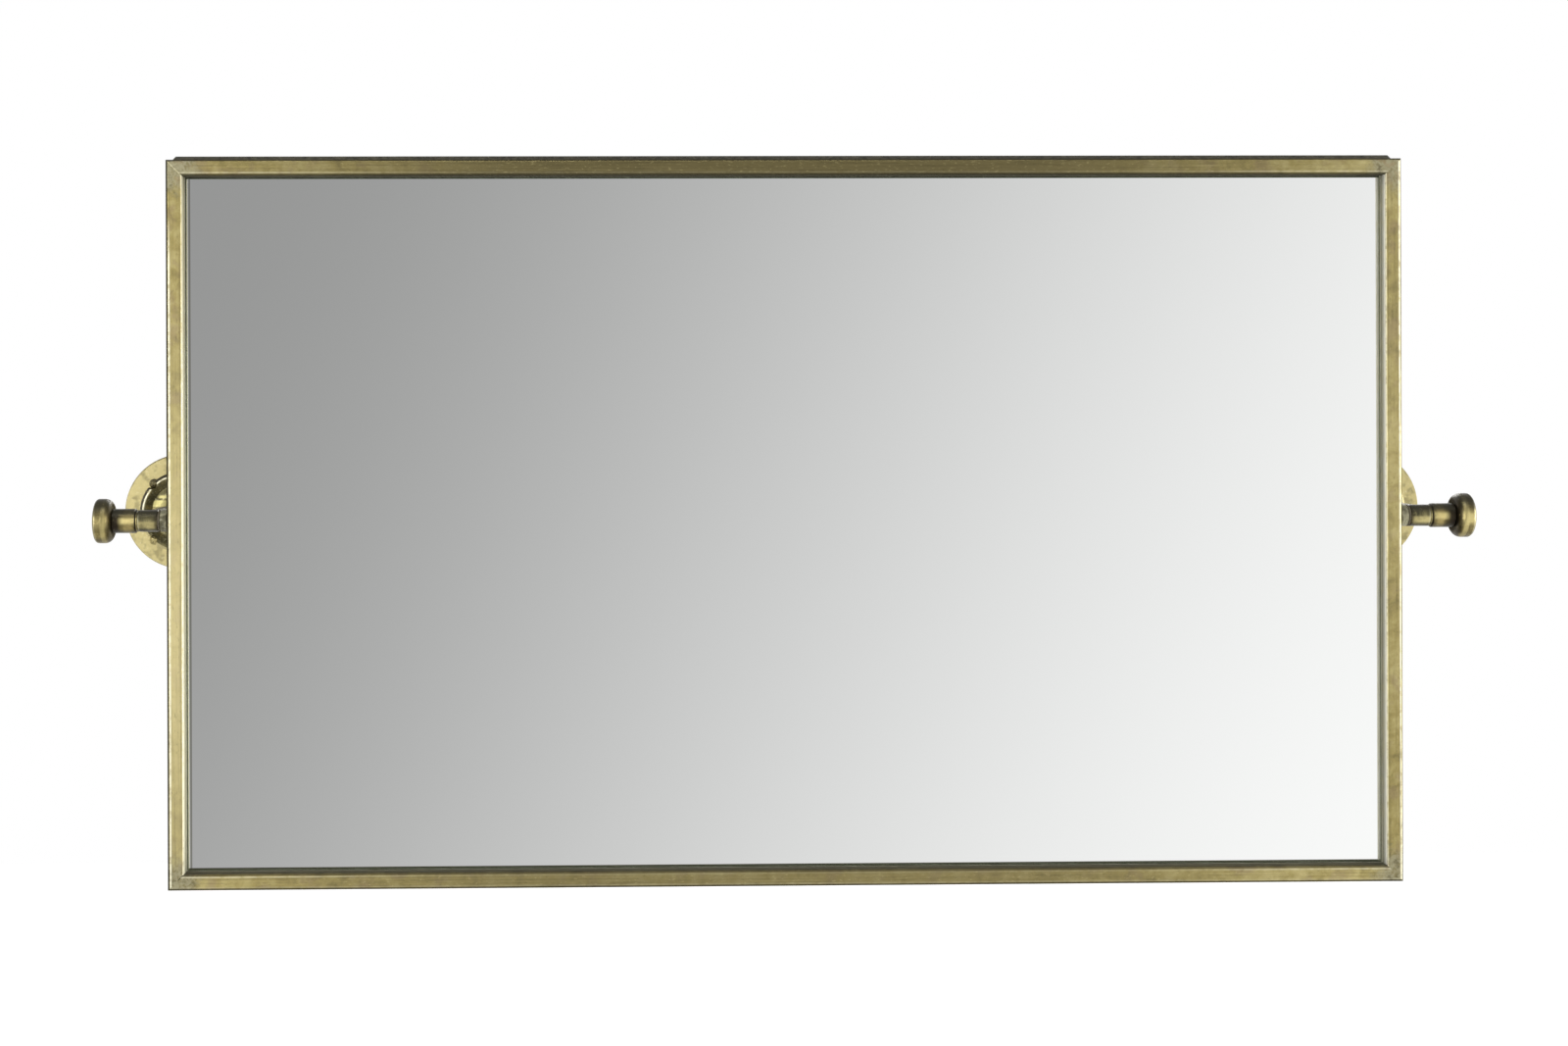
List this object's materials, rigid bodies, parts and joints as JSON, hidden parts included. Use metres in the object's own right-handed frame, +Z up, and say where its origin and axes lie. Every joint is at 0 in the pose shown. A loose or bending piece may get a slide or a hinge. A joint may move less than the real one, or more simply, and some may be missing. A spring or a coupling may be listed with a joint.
{
  "type": "pivot wall mirror",
  "caption": "Framed rectangular wall mirror that tilts about a horizontal axis between two round wall brackets and is clamped by turned knobs.",
  "frame": {"origin": "on the wall plane, midway between the two brackets, at the height of the tilt axis, which is the middle of both patterns of wall screws", "axes": "+X to the right as one looks at the mirror, along the tilt axis; +Y into the wall; +Z up"},
  "size_m": [0.9048, 0.1583, 0.4735],
  "materials": {
    "frame_brass": "aged, brushed lengthwise, clear lacquer",
    "turned_brass": "aged, turned, worn bright at the edges",
    "pale_brass": "satin",
    "screw_brass": "aged",
    "plain_steel": "turned, plain",
    "friction_washer": "matte",
    "silvered_glass": "silvered float glass",
    "foam_tape": "matte foam",
    "dark_board": "dark stained hardboard, matte"
  },
  "bodies": {
    "brackets": {"left_wall_plate": "pale_brass", "left_flange": "turned_brass", "left_post": "turned_brass", "left_barrel": "turned_brass", "left_arm_screw": "plain_steel", "left_wall_screws": "screw_brass", "right_wall_plate": "pale_brass", "right_flange": "turned_brass", "right_post": "turned_brass", "right_barrel": "turned_brass", "right_arm_screw": "plain_steel", "right_wall_screws": "screw_brass"},
    "mirror": {"top_bar": "frame_brass", "bottom_bar": "frame_brass", "left_bar": "frame_brass", "right_bar": "frame_brass", "mirror_glass": "silvered_glass", "mounting_tape": "foam_tape", "back_panel": "dark_board", "panel_screws": "screw_brass", "left_pivot_boss": "plain_steel", "right_pivot_boss": "plain_steel", "left_pivot_stud": "plain_steel", "right_pivot_stud": "plain_steel", "left_inner_washer": "friction_washer", "right_inner_washer": "friction_washer"},
    "left_washer": {"left_outer_washer": "pale_brass"},
    "left_knob": {"left_knob_neck": "turned_brass", "left_knob_head": "turned_brass"},
    "right_washer": {"right_outer_washer": "pale_brass"},
    "right_knob": {"right_knob_neck": "turned_brass", "right_knob_head": "turned_brass"}
  },
  "joints": [
    {"name": "mirror_tilt", "type": "hinge", "parent": "brackets", "child": "mirror", "pos_m": [0, -0.108, 0], "axis": [1, 0, 0], "range_deg": [-23, 23]},
    {"name": "left_knob_travel", "type": "slide", "parent": "mirror", "child": "left_washer", "axis": [-1, 0, 0], "range_m": [0, 0.00125]},
    {"name": "left_knob_turn", "type": "hinge", "parent": "left_washer", "child": "left_knob", "pos_m": [-0.435, -0.108, 0], "axis": [-1, 0, 0], "range_deg": [0, 360]},
    {"name": "right_knob_travel", "type": "slide", "parent": "mirror", "child": "right_washer", "axis": [1, 0, 0], "range_m": [0, 0.00125]},
    {"name": "right_knob_turn", "type": "hinge", "parent": "right_washer", "child": "right_knob", "pos_m": [0.435, -0.108, 0], "axis": [1, 0, 0], "range_deg": [0, 360]}
  ],
  "couplings": [
    {"joint": "left_knob_turn", "follows": "left_knob_travel", "rad_per_m": 5026.5},
    {"joint": "right_knob_turn", "follows": "right_knob_travel", "rad_per_m": 5026.5}
  ]
}
